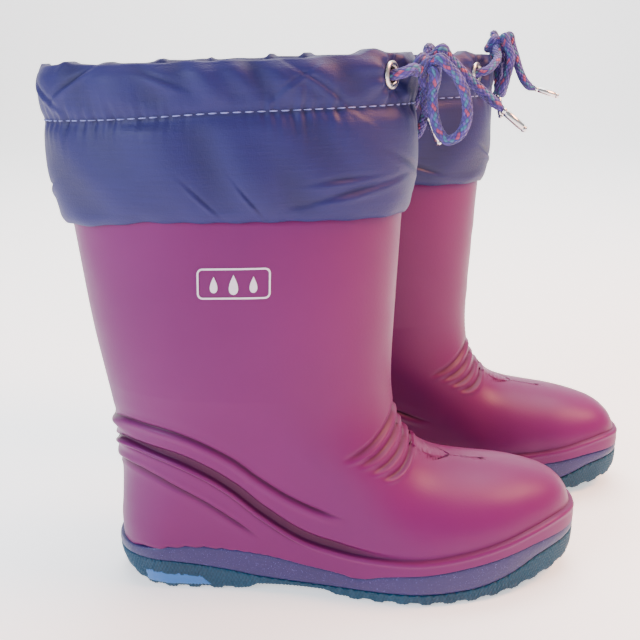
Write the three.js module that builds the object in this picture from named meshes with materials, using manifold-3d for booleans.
// A pair of children's moulded rain boots with nylon drawcord collars.
// Millimetres. +X points to the toes, +Y from the right boot to the left boot, +Z up, floor at z = 0.
// One boot is modelled in its own frame: heel back at x = 0, sagittal plane at y = 0, outer side at -y.
// The left boot is the mirror image of the right one; only its bow is tied differently.
import * as THREE from "three";
import { mergeVertices } from "three/addons/utils/BufferGeometryUtils.js";
import Module from "manifold-3d";

const wasm = await Module();
wasm.setup();

// ---- driving dimensions ----
const BOOT_SPACING = 107.3; // between the sagittal planes
const STAGGER = 47.2; // the left boot stands this far ahead of the right one
const PAIR_CENTRE_X = 132.7; // middle of the pair, in the right boot's frame
const GAP = 0.3; // clearance between touching pieces
const EDGE_GAP = 1.9; // clearance over a wavy edge, where the facets of two pieces differ
const TRIM = 0.2; // taken off an underside, so that it has no face in the plane of another body
const CLEAR_OF_BOOT = 30; // cutting bodies reach this far past the boot's sides

const TOE_TIP = 235;
const HEEL_CAP = 30; // plan radius of the heel
const TOE_CAP = 48; // length of the rounded toe in plan
const TOE_ROUNDNESS = 2.2;
const WELT_Z = 28; // above this the vamp starts to close over the foot
const SHAFT_Z = 105; // above this the section is a plain oval
const UPPER_TOP = 192;
const MOUTH_CUT = 10; // the cut for the hollow runs this far out of the shaft
const UPPER_WALL = 2.6;
const UPPER_OVERHANG = 0.5; // the upper stands this far outside the band below it

const SOLE_WALL = 1.6;
const BAND_WALL = 2.0;
const BAND_FLOOR = 2.6;
const BAND_BOTTOM = 5.3; // underside of the band above the floor line of the boot
const INSOLE_THICK = 3.0;
const INSOLE_INSET = 8;

const BADGE_SPAN = [57, 89, 153.5, 167.5]; // rear and front x, lower and upper z
const BADGE_LEAN = 1.5; // the rear edge slopes by this much
const BADGE_THICK = 0.5;

const COLLAR_CENTRE_X = 68.3;
const COLLAR_HALF_LENGTH = 77;
const COLLAR_HALF_WIDTH = 43.5;
const COLLAR_OVAL = 2.2; // exponent of the collar's oval
const COLLAR_HEM_Z = 180;
const COLLAR_RIM_Z = 250.5;
const COLLAR_TILT = 4.5; // the rim is this much higher at the front than at the back
const COLLAR_FLARE = 1.5; // the oval grows this much from the hem to the rim
const COLLAR_LEAN = 1.2; // and its centre moves back this much
const CHANNEL_GROW = 1.0; // the cord's channel, outside the collar's base oval
const CHANNEL_Z = 240;
const CHANNEL_RADIUS = 3.4;
const CHANNEL_SIDES = 6;

const CORD_DIAMETER = 4.6;
const CASING_CORD_DIAMETER = 4.0; // pressed narrower inside the casing
const CASING_CORD_START = 0.36; // angle of its ends from straight ahead, short of the eyelets
const CORD_SIDES = 8;
const CORD_LEAD = 2.5; // straight length where a strand meets the knot or its metal tip
const KNOT_RADIUS = 5.2;
const AGLET_LENGTH = 14;
const AGLET_RADIUS = 1.9;

const EYELET_X = 139.3;
const EYELET_Y = 25.2;
const EYELET_Z = 244;
const EYELET_TURN = 0.5; // angle of the eyelet's axis from straight ahead, radians
const EYELET_FLANGE = 5.7;
const EYELET_BORE = 3.4;
const EYELET_BARREL = 4.0;

// ---- outline curves: [x, value] or [z, value] ----
const OUTER_HALF_WIDTH = [
  [0, 29], [30, 30], [70, 30.5], [108, 33.5], [140, 39],
  [158, 40.5], [178, 38], [195, 34.5], [215, 30.5], [235, 29],
];
const INNER_HALF_WIDTH = [
  [0, 29], [30, 30], [70, 29.5], [100, 28.5], [125, 30.5],
  [150, 35], [170, 36], [195, 34], [215, 31], [235, 29],
];
const MIDLINE = [[0, 0], [130, 0], [180, 2.2], [210, 5.2], [235, 8.5]]; // the toe bends to the inner side
const SHAFT_HALF_WIDTH = [
  [20, 31], [45, 34.5], [66, 36.5], [90, 38.5], [112, 40.5], [150, 42.5], [192, 43.5],
];
// The collar's section as [height, distance outside the base oval]: up the outside, then down the inside.
const COLLAR_OUTSIDE = [
  [180, 1.2], [184, 3.5], [195, 5.5], [208, 6.3], [222, 6],
  [228, 4.2], [233, 5.2], [240, 5.8], [246, 5.1], [250.5, 2.6],
];
const COLLAR_INSIDE = [
  [250.5, -0.8], [246, -3.2], [240, -3.9], [234, -2.8], [229, 0.6],
  [222, 2.2], [200, 2.6], [193.5, 1.4], [180, 0.6],
];
const BACK_PROFILE = [
  [8, 5.5], [15, 3.2], [30, 2.6], [41, 3.8], [57, 5], [66, 4.5], [89, 3], [134, -3], [178, -7], [192, -8.5],
];
const BAND_TOP = [
  [0, 20], [20, 23.5], [45, 28], [78, 25], [101, 19.5], [118, 15],
  [125, 13], [139, 17], [169, 20], [190, 25], [213, 30], [235, 28],
];
const SOLE_TOP = [
  [0, 15.5], [14, 18.5], [30, 19], [46, 16.5], [62, 12.5], [78, 9], [108, 6.5],
  [140, 6], [170, 6.5], [185, 8], [200, 14.5], [214, 22], [235, 25],
];
const TOE_SPRING = [[0, 0], [175, 0], [190, 1], [205, 3], [220, 6], [235, 10]];
const ARCH_LIFT = [[0, 0], [70, 0], [76, 2.6], [108, 2.6], [116, 0], [235, 0]];

// Front of the boot from the top of the shaft, through the throat and along the vamp to the toe.
const FRONT_PROFILE = [
  [145.5, 192], [143, 150], [141, 112], [141.6, 94], [144.5, 82], [149.5, 73], [157, 65.5],
  [167, 61.3], [180, 59], [196, 57], [210, 53.5], [221, 48.5], [229, 41.5], [233.5, 34.5], [235, 28],
];

// Bow routes, in each boot's own frame. A strand starts and ends on the knot.
const BOWS = {
  right: {
    knot: [153.4, -18, 250],
    outer_stem: [[144.5, -26.5, 245], [148.5, -24.8, 246.4]],
    inner_stem: [
      [145, 25.5, 244], [149.5, 21.5, 243.5], [153.6, 12, 244], [154.8, 3, 245.5], [154.4, -6, 247.5],
    ],
    outer_loop: [
      [161.5, -22.4, 247.8], [165.3, -21.8, 244], [168.8, -20.5, 238.5], [171, -19, 231.5], [171, -18, 225],
      [168.2, -17, 219], [163.5, -16.5, 217], [159.8, -16.8, 220.5], [157.3, -17.8, 228], [156.4, -19.4, 238],
    ],
    inner_loop: [
      [157, -6, 253], [157.6, 3, 251.5], [156.8, 12, 249.2], [156.8, 20.5, 242],
      [152.4, 27, 233.5], [149, 29, 225], [149.5, 27.5, 218], [152, 22, 216.5],
      [154.5, 16, 222], [156.5, 8, 231], [158.6, -3, 240], [158.6, -9, 244.5],
    ],
    free_end: [
      [162.5, -14.5, 251.3], [168, -11, 246], [174, -8.8, 240.4], [180, -8, 235.2], [185.2, -8, 230.8],
    ],
    free_end_aim: [0.76, 0.02, -0.65],
    hanging_end: [[153.6, -14.4, 238.8], [154, -10.5, 233.5], [154.6, -6.5, 228.8]],
    hanging_end_aim: [0.4, 0.25, -0.88],
  },
  left: {
    knot: [152.3, 4, 260.5],
    outer_stem: [[145, -26, 245], [149.5, -22, 247.5], [152.7, -14, 252.3], [151.6, -6.5, 257]],
    inner_stem: [[145, 25.8, 245.5], [149.3, 21.5, 249], [151.8, 14.5, 253]],
    outer_loop: [
      [153.8, -8, 262], [157, -14.5, 256.5], [158.2, -19, 250], [156.8, -23, 243], [153.5, -27, 235.5],
      [151.3, -28.5, 228], [151.5, -26, 220.5], [153.8, -20.5, 217.5], [156, -14, 222], [157.5, -8, 232],
      [157.4, -3.8, 245],
    ],
    inner_loop: [
      [157, 12.5, 258], [158.8, 14, 252], [158.4, 14.5, 245.5], [156.6, 15, 239.5], [154.8, 15, 233.5],
      [153.6, 13.5, 227.5], [154, 9.8, 224], [156, 6.4, 228.5], [158.3, 5.2, 237], [159, 5.2, 247],
    ],
    free_end: [
      [160.8, 2.6, 259], [163, 4.5, 252], [165, 6.5, 245.3], [167.8, 7.5, 239.6], [171.2, 7.5, 236.2],
    ],
    free_end_aim: [0.95, 0, -0.31],
    hanging_end: [[154.2, 1, 248.5], [154.8, -0.5, 241.5], [154.8, -1.5, 235.5]],
    hanging_end_aim: [0.15, 0.05, -0.98],
  },
};
// Where each strand leaves the knot, as directions from its centre.
const KNOT_EXITS = {
  right: {
    outer_stem: [-0.5, -0.62, -0.6], inner_stem: [-0.35, 0.8, -0.5],
    outer_loop: [[0.8, -0.6, 0], [0.45, -0.5, -0.74]],
    inner_loop: [[0.2, 0.8, 0.56], [0.6, 0.7, -0.38]],
    free_end: [0.85, 0.1, 0.5], hanging_end: [-0.1, 0.15, -0.98],
  },
  left: {
    outer_stem: [-0.5, -0.75, -0.43], inner_stem: [-0.1, 0.8, -0.6],
    outer_loop: [[-0.1, -0.85, 0.52], [0.5, -0.75, -0.43]],
    inner_loop: [[0.45, 0.85, 0.28], [0.75, 0.4, -0.53]],
    free_end: [0.9, -0.2, 0.4], hanging_end: [0, -0.05, -1],
  },
};

// ---- materials ----
const finish = (color, roughness, metalness = 0) =>
  new THREE.MeshStandardMaterial({ color, roughness, metalness });
const PLUM = finish(0x8c3a72, 0.45);
const INDIGO = finish(0x443a80, 0.5);
const TEAL = finish(0x0b6f8c, 0.55);
const FOAM = finish(0x3c3a46, 0.95);
const NYLON = finish(0x46457e, 0.6);
const PRINT = finish(0xe8dfe8, 0.5);
const NICKEL = finish(0xc9c4b8, 0.3, 1);
const CORD = finish(0x3f2f86, 0.8);

// ---- small maths ----
const clamp = (t, low, high) => Math.min(high, Math.max(low, t));
const mix = (a, b, t) => a + (b - a) * t;
const smooth = (low, high, t) => {
  const u = clamp((t - low) / (high - low), 0, 1);
  return u * u * (3 - 2 * u);
};

// Value at x of the smooth curve through a list of [x, value] points.
function curveAt(points, x) {
  const last = points.length - 1;
  if (x <= points[0][0]) return points[0][1];
  if (x >= points[last][0]) return points[last][1];
  const i = points.findIndex((p, k) => k < last && x <= points[k + 1][0]);
  const slope = (k) => {
    const a = points[Math.max(k - 1, 0)];
    const b = points[Math.min(k + 1, last)];
    return (b[1] - a[1]) / (b[0] - a[0]);
  };
  const [x0, y0] = points[i];
  const [x1, y1] = points[i + 1];
  const h = x1 - x0;
  const t = (x - x0) / h;
  const t2 = t * t;
  const t3 = t2 * t;
  return (
    y0 * (2 * t3 - 3 * t2 + 1) + h * slope(i) * (t3 - 2 * t2 + t) +
    y1 * (3 * t2 - 2 * t3) + h * slope(i + 1) * (t3 - t2)
  );
}

// A closing quarter oval: 0 on the edge, 1 from one radius inward.
const closing = (depth, power = 2) => {
  const t = 1 - clamp(depth, 0, 1);
  return Math.max(1 - t ** power, 0) ** (1 / power);
};

// ---- the boot's outer form ----
const capFactor = (x) => closing(x / HEEL_CAP) * closing((TOE_TIP - x) / TOE_CAP, TOE_ROUNDNESS);
const planHalfWidth = (x, outerSide) =>
  curveAt(outerSide ? OUTER_HALF_WIDTH : INNER_HALF_WIDTH, x) * capFactor(x);

const midline = (x) => curveAt(MIDLINE, x);

const frontCurve = new THREE.SplineCurve(FRONT_PROFILE.map(([x, z]) => new THREE.Vector2(x, z)));
const frontSamples = frontCurve.getPoints(120);
const bandUnderside = (x) => BAND_BOTTOM + Math.max(curveAt(TOE_SPRING, x), 0);
const upperFloor = (x) => bandUnderside(x) + BAND_FLOOR + GAP;

function ridgeHeight(x) {
  let best = WELT_Z;
  for (const p of frontSamples) if (p.y < 80 && p.x <= x) best = p.y;
  return best;
}

// Half-width of the upper over the point (x, z) of its side view.
function upperHalfWidth(x, z, outerSide) {
  const plan = curveAt(outerSide ? OUTER_HALF_WIDTH : INNER_HALF_WIDTH, x) + UPPER_OVERHANG;
  const shaft = curveAt(SHAFT_HALF_WIDTH, z);
  const full = mix(plan, shaft, clamp((z - WELT_Z) / (SHAFT_Z - WELT_Z), 0, 1));
  const backRadius = mix(HEEL_CAP, 70, smooth(25, 110, z));
  const back = closing((x - curveAt(BACK_PROFILE, z)) / backRadius, 2.1);
  const near = Math.min(...frontSamples.map((p) => Math.hypot(p.x - x, p.y - z)));
  const shaftDepth = near / mix(38, 70, smooth(60, 110, z));
  const ridge = ridgeHeight(x);
  const vampDepth = z < WELT_Z ? 1 : (ridge - z) / Math.max(ridge - WELT_Z, 0.1);
  const front = closing(mix(shaftDepth, vampDepth, smooth(148, 172, x)), 2.1);
  const toe = closing((TOE_TIP - x) / TOE_CAP, TOE_ROUNDNESS);
  const floor = closing((z - upperFloor(x)) / 3);
  return full * back * front * toe * floor;
}

// ---- mesh builders ----
// A closed body from equal rings of points: outer rings, then optional inner rings in reverse order.
function geometryFrom(points, faces) {
  const geometry = new THREE.BufferGeometry();
  geometry.setAttribute("position", new THREE.Float32BufferAttribute(points.flat(), 3));
  geometry.setIndex(faces.flat());
  return mergeVertices(geometry, 1e-4);
}

function signedVolume(points, faces) {
  const [a, b, c] = [new THREE.Vector3(), new THREE.Vector3(), new THREE.Vector3()];
  let sum = 0;
  for (const f of faces) {
    a.fromArray(points[f[0]]);
    b.fromArray(points[f[1]]);
    c.fromArray(points[f[2]]);
    sum += a.dot(b.cross(c));
  }
  return sum;
}

// Rings are joined in order. Each end is closed flat across the ring, or the last joins the first.
function loft(rings, closedLoop = false) {
  const n = rings[0].length;
  const faces = [];
  const joins = closedLoop ? rings.length : rings.length - 1;
  for (let r = 0; r < joins; r++) {
    const base = r * n;
    const next = ((r + 1) % rings.length) * n;
    for (let i = 0; i < n; i++) {
      const j = (i + 1) % n;
      faces.push([base + i, base + j, next + j], [base + i, next + j, next + i]);
    }
  }
  if (!closedLoop) {
    const top = (rings.length - 1) * n;
    for (let i = 0; i < n / 2; i++) {
      const [a, b, c, d] = [i, i + 1, (n - i - 1) % n, (n - i) % n];
      faces.push([a, c, b], [top + a, top + b, top + c]);
      if (i > 0) faces.push([a, d, c], [top + a, top + c, top + d]);
    }
  }
  const points = rings.flat();
  if (signedVolume(points, faces) < 0) faces.forEach((f) => f.reverse());
  const solid = faces.filter((f) => distinct(points, f));
  return geometryFrom(points, solid);
}

function distinct(points, [a, b, c]) {
  const same = (p, q) => p.every((v, k) => Math.abs(v - q[k]) < 1e-4);
  return !same(points[a], points[b]) && !same(points[b], points[c]) && !same(points[a], points[c]);
}

function toManifold(geometry) {
  const bare = geometry.clone();
  bare.deleteAttribute("normal");
  bare.deleteAttribute("uv");
  const merged = mergeVertices(bare, 1e-4);
  return new wasm.Manifold(
    new wasm.Mesh({
      numProp: 3,
      vertProperties: new Float32Array(merged.attributes.position.array),
      triVerts: new Uint32Array(merged.index.array),
    }),
  );
}

// The largest body of a solid: cuts can leave slivers with no volume beside it.
const mainBody = (solid) => solid.decompose().sort((a, b) => b.volume() - a.volume())[0];

function toGeometry(solid) {
  const mesh = mainBody(solid).getMesh();
  const geometry = new THREE.BufferGeometry();
  geometry.setAttribute("position", new THREE.BufferAttribute(mesh.vertProperties, 3));
  geometry.setIndex(new THREE.BufferAttribute(mesh.triVerts, 1));
  return geometry;
}

// ---- moulded parts ----
// One ring of the upper lies in a plane through a point of the front and a point of the back or floor.
function upperRing(front, back, inset, sidePoints) {
  const along = new THREE.Vector2().subVectors(back, front);
  const length = along.length();
  along.divideScalar(length);
  const side = (outerSide) => {
    const points = [];
    for (let i = 0; i <= sidePoints; i++) {
      const s = (1 - Math.cos((Math.PI * i) / sidePoints)) / 2;
      const at = front.clone().addScaledVector(along, s * length);
      const onEdge = i === 0 || i === sidePoints;
      points.push({ at, s, y: onEdge ? 0 : upperHalfWidth(at.x, at.y, outerSide) });
    }
    const widest = Math.max(...points.map((p) => p.y), 0.01);
    const narrow = Math.max(1 - inset / widest, 0.02) * (outerSide ? -1 : 1);
    return points.map(({ at, s, y }) => {
      const shift = inset * (1 - 2 * s);
      return [at.x + along.x * shift, midline(at.x) + y * narrow, at.y + along.y * shift];
    });
  };
  return [...side(true), ...side(false).slice(1, -1).reverse()];
}

// The back of the shaft, then the floor of the foot.
const backCurve = new THREE.SplineCurve([
  ...[UPPER_TOP, 150, 112, 80, 52, 30, 17].map((z) => new THREE.Vector2(curveAt(BACK_PROFILE, z), z)),
  ...[14, 40, 75, 110, 145, 180, 205, 222].map((x) => new THREE.Vector2(x, upperFloor(x))),
  new THREE.Vector2(TOE_TIP - 1.5, upperFloor(TOE_TIP) + 3),
]);

// Rings from the top of the shaft, fanning round the throat, to the toe.
function upperRings(count, sidePoints, inset) {
  const rings = [];
  for (let k = 0; k < count; k++) {
    const u = k / (count - 1);
    rings.push(upperRing(frontCurve.getPointAt(u ** 0.9), backCurve.getPointAt(u), inset, sidePoints));
  }
  return rings;
}

// A closed outline of the foot, set in from the widest plan, at a height that varies along it.
function planRing(inset, height, points = 40) {
  const ring = [];
  const half = points / 2;
  for (let i = 0; i < points; i++) {
    const outerSide = i <= half;
    const turn = outerSide ? i / half : 2 - i / half;
    const s = (1 - Math.cos(Math.PI * turn)) / 2;
    const x = inset + s * (TOE_TIP - 2 * inset);
    const y = planHalfWidth(s * TOE_TIP, outerSide) * (1 - inset / 34);
    ring.push([x, midline(x) + (outerSide ? -y : y), height(x)]);
  }
  return ring;
}

// Trims a body to a narrower plan below an edge line and to an underside, so that it sits in the tray.
function seated(solid, inset, edge, underside) {
  const ceiling = 2 * UPPER_TOP;
  const foot = loft([planRing(inset, (x) => underside(x) + TRIM), planRing(inset, () => ceiling)]);
  const above = loft([planRing(-CLEAR_OF_BOOT, edge), planRing(-CLEAR_OF_BOOT, () => ceiling + 5)]);
  return solid.intersect(toManifold(foot).add(toManifold(above)));
}

const [STATIONS, SIDE_POINTS, TOE_STATIONS] = [19, 9, 2];

// The space inside the boot, or inside an inset of it, without its mouth.
const hollowRings = (inset) => upperRings(STATIONS, SIDE_POINTS, inset).slice(0, -TOE_STATIONS);

function makeUpper() {
  const outer = toManifold(loft(upperRings(STATIONS, SIDE_POINTS, 0)));
  const rings = hollowRings(UPPER_WALL);
  const mouth = rings[0].map(([x, y, z]) => [x, y, z + MOUTH_CUT]);
  const hollow = toManifold(loft([mouth, ...rings]));
  const inset = SOLE_WALL + BAND_WALL + 2 * GAP;
  const edge = (x) => curveAt(BAND_TOP, x) + EDGE_GAP;
  const shell = seated(outer, inset, edge, upperFloor);
  const raised = (height) => (x) => height(x) + UPPER_WALL;
  const space = seated(hollow, inset + UPPER_WALL, raised(edge), raised(upperFloor));
  return toGeometry(shell.subtract(mainBody(space)));
}

function makeTray(top, underside, floorTop, wall) {
  return loft([planRing(0, underside), planRing(0, top), planRing(wall, top), planRing(wall, floorTop)]);
}

function makeBand() {
  const wall = SOLE_WALL + GAP + BAND_WALL;
  const floorTop = (x) => bandUnderside(x) + BAND_FLOOR;
  const tray = makeTray((x) => curveAt(BAND_TOP, x), bandUnderside, floorTop, wall);
  const edge = (x) => curveAt(SOLE_TOP, x) + EDGE_GAP;
  return toGeometry(seated(toManifold(tray), SOLE_WALL + GAP, edge, bandUnderside));
}

function makeSole() {
  const underside = (x) => Math.max(curveAt(TOE_SPRING, x), 0) + Math.max(curveAt(ARCH_LIFT, x), 0);
  return makeTray((x) => curveAt(SOLE_TOP, x), underside, (x) => bandUnderside(x) - GAP, SOLE_WALL);
}

// A foam plate that lies on the floor of the hollow and follows its walls.
function makeInsole() {
  const underside = (x) => upperFloor(x) + UPPER_WALL + 2 * GAP;
  const surface = (x) => underside(x) + INSOLE_THICK;
  const plate = loft([planRing(INSOLE_INSET, underside), planRing(INSOLE_INSET, surface)]);
  const room = loft(hollowRings(UPPER_WALL + 3 * GAP));
  return toGeometry(toManifold(plate).intersect(toManifold(room)));
}

// A thin curved plate on the outer side of the shaft.
function makeBadge() {
  const [x0, x1, z0, z1] = BADGE_SPAN;
  const skin = (lift) => {
    const rows = [];
    for (const z of [z0, z1]) {
      for (let i = 0; i <= 8; i++) {
        const x = mix(x0 + (z === z0 ? BADGE_LEAN : 0), x1, (z === z0 ? i : 8 - i) / 8);
        rows.push([x, -upperHalfWidth(x, z, true) - lift, z]);
      }
    }
    return rows;
  };
  return loft([skin(GAP), skin(GAP + BADGE_THICK)]);
}

// ---- collar ----
function collarPoint(angle, grow, z) {
  const [c, s] = [Math.cos(angle), Math.sin(angle)];
  const raise = (z - COLLAR_HEM_Z) / (COLLAR_RIM_Z - COLLAR_HEM_Z);
  const length = COLLAR_HALF_LENGTH + grow + COLLAR_FLARE * raise;
  const width = COLLAR_HALF_WIDTH + grow;
  const power = COLLAR_OVAL;
  const r = (Math.abs(c / length) ** power + Math.abs(s / width) ** power) ** (-1 / power);
  const x = COLLAR_CENTRE_X - COLLAR_LEAN * raise + r * c;
  return [x, r * s, z + COLLAR_TILT * raise * clamp((x + 10) / 160, 0, 1)];
}

function collarRing(grow, z, points = 28) {
  return Array.from({ length: points }, (_, i) => collarPoint((2 * Math.PI * i) / points, grow, z));
}

const eyeletAxis = (side) => new THREE.Vector3(Math.cos(EYELET_TURN), side * Math.sin(EYELET_TURN), 0);
const eyeletPlace = (side) => new THREE.Vector3(EYELET_X, side * EYELET_Y, EYELET_Z);

// Turns a lathe body, whose axis is +Y, to an eyelet's axis and moves it to the eyelet.
function atEyelet(geometry, side) {
  const turn = new THREE.Quaternion().setFromUnitVectors(new THREE.Vector3(0, 1, 0), eyeletAxis(side));
  const place = eyeletPlace(side);
  return geometry.applyQuaternion(turn).translate(place.x, place.y, place.z);
}

const cylinderBetween = (radius, from, to) =>
  new THREE.CylinderGeometry(radius, radius, to - from, 20).translate(0, (from + to) / 2, 0);

function makeCollar() {
  const rings = [...COLLAR_OUTSIDE, ...COLLAR_INSIDE].map(([z, grow]) => collarRing(grow, z));
  let body = toManifold(loft(rings, true));
  const channel = Array.from({ length: CHANNEL_SIDES }, (_, k) => {
    const turn = (2 * Math.PI * k) / CHANNEL_SIDES;
    const across = CHANNEL_GROW + CHANNEL_RADIUS * Math.cos(turn);
    return collarRing(across, CHANNEL_Z + CHANNEL_RADIUS * Math.sin(turn));
  });
  body = body.subtract(toManifold(loft(channel, true)));
  for (const side of [-1, 1]) {
    body = body.subtract(toManifold(atEyelet(cylinderBetween(EYELET_BARREL + GAP, -4, 6), side)));
    body = body.subtract(toManifold(atEyelet(cylinderBetween(EYELET_FLANGE + GAP, -GAP, 8), side)));
  }
  return toGeometry(body);
}

function makeEyelet(side) {
  const profile = [
    [EYELET_BORE, -1.6], [EYELET_BARREL, -1.6], [EYELET_BARREL, 0], [EYELET_FLANGE, 0],
    [EYELET_FLANGE - 0.3, 0.7], [4.6, 1.2], [EYELET_BORE, 0.7], [EYELET_BORE, -1.6],
  ];
  const ring = new THREE.LatheGeometry(profile.map(([r, y]) => new THREE.Vector2(r, y)), 20);
  return atEyelet(ring, side);
}

// ---- drawcord ----
function tube(points, diameter = CORD_DIAMETER, steps = 0) {
  const route = new THREE.CatmullRomCurve3(points.map((p) => new THREE.Vector3(...p)), false, "centripetal");
  const section = new THREE.Shape();
  for (let k = 0; k < CORD_SIDES; k++) {
    const turn = (2 * Math.PI * k) / CORD_SIDES;
    section[k ? "lineTo" : "moveTo"]((diameter / 2) * Math.cos(turn), (diameter / 2) * Math.sin(turn));
  }
  const count = steps || Math.max(3, Math.ceil(route.getLength() / (1.6 * diameter)));
  return new THREE.ExtrudeGeometry(section, { steps: count, extrudePath: route, bevelEnabled: false });
}

function makeCasingCord() {
  const steps = 32;
  const points = [];
  for (let k = 0; k <= steps; k++) {
    const angle = mix(CASING_CORD_START, 2 * Math.PI - CASING_CORD_START, k / steps);
    points.push(collarPoint(angle, CHANNEL_GROW, CHANNEL_Z));
  }
  return tube(points, CASING_CORD_DIAMETER, steps + 2);
}

// The two points of a strand's straight lead away from the knot, nearest first.
function knotLead(knot, direction) {
  const at = (distance) =>
    new THREE.Vector3(...direction).setLength(distance).add(new THREE.Vector3(...knot)).toArray();
  return [at(KNOT_RADIUS + GAP), at(KNOT_RADIUS + GAP + CORD_LEAD)];
}

const pointAlong = (start, aim, distance) =>
  new THREE.Vector3(...aim).setLength(distance).add(new THREE.Vector3(...start)).toArray();

function makeAglet(start, aim) {
  const [r, l] = [AGLET_RADIUS, AGLET_LENGTH];
  const profile = [[0, 0], [r, 0], [r, l - 1.2], [r - 0.5, l - 0.3], [0, l]];
  const tip = new THREE.LatheGeometry(profile.map(([x, y]) => new THREE.Vector2(x, y)), 10);
  const direction = new THREE.Vector3(...aim).normalize();
  const from = new THREE.Vector3(...pointAlong(start, aim, GAP));
  tip.applyQuaternion(new THREE.Quaternion().setFromUnitVectors(new THREE.Vector3(0, 1, 0), direction));
  return tip.translate(from.x, from.y, from.z);
}

function bowPieces(boot) {
  const bow = BOWS[boot];
  const exits = KNOT_EXITS[boot];
  const pieces = { bow_knot: new THREE.SphereGeometry(KNOT_RADIUS, 14, 10).translate(...bow.knot) };
  for (const [name, side] of [["outer", -1], ["inner", 1]]) {
    const mouth = eyeletPlace(side).add(new THREE.Vector3(0.5, 0, 0)).toArray();
    const stemLead = knotLead(bow.knot, exits[`${name}_stem`]).reverse();
    pieces[`${name}_cord_stem`] = tube([mouth, ...bow[`${name}_stem`], ...stemLead]);
    const [out, back] = exits[`${name}_loop`].map((d) => knotLead(bow.knot, d));
    pieces[`${name}_bow_loop`] = tube([...out, ...bow[`${name}_loop`], ...back.reverse()]);
  }
  for (const name of ["free", "hanging"]) {
    const aim = bow[`${name}_end_aim`];
    const route = [...knotLead(bow.knot, exits[`${name}_end`]), ...bow[`${name}_end`]];
    route.push(pointAlong(route[route.length - 1], aim, CORD_LEAD));
    pieces[`${name}_cord_end`] = tube(route);
    pieces[`${name}_aglet`] = makeAglet(route[route.length - 1], aim);
  }
  return pieces;
}

// ---- assembly ----
const BOOT_PIECES = [
  ["upper", makeUpper(), PLUM],
  ["midsole_band", makeBand(), INDIGO],
  ["outsole", makeSole(), TEAL],
  ["insole", makeInsole(), FOAM],
  ["badge", makeBadge(), PRINT],
  ["collar", makeCollar(), NYLON],
  ["outer_eyelet", makeEyelet(-1), NICKEL],
  ["inner_eyelet", makeEyelet(1), NICKEL],
  ["casing_cord", makeCasingCord(), CORD],
];

function makeBoot(name) {
  const boot = new THREE.Group();
  const add = (piece, geometry, material) => {
    const mesh = new THREE.Mesh(geometry, material);
    mesh.name = `${name}_${piece}`;
    boot.add(mesh);
  };
  BOOT_PIECES.forEach(([piece, geometry, material]) => add(piece, geometry, material));
  for (const [piece, geometry] of Object.entries(bowPieces(name)))
    add(piece, geometry, piece.endsWith("aglet") ? NICKEL : CORD);
  return boot;
}

const pair = new THREE.Group();
const right = makeBoot("right");
right.position.set(-PAIR_CENTRE_X, -BOOT_SPACING / 2, 0);
const left = makeBoot("left");
left.position.set(STAGGER - PAIR_CENTRE_X, BOOT_SPACING / 2, 0);
left.scale.y = -1;
pair.add(right, left);

export default pair;
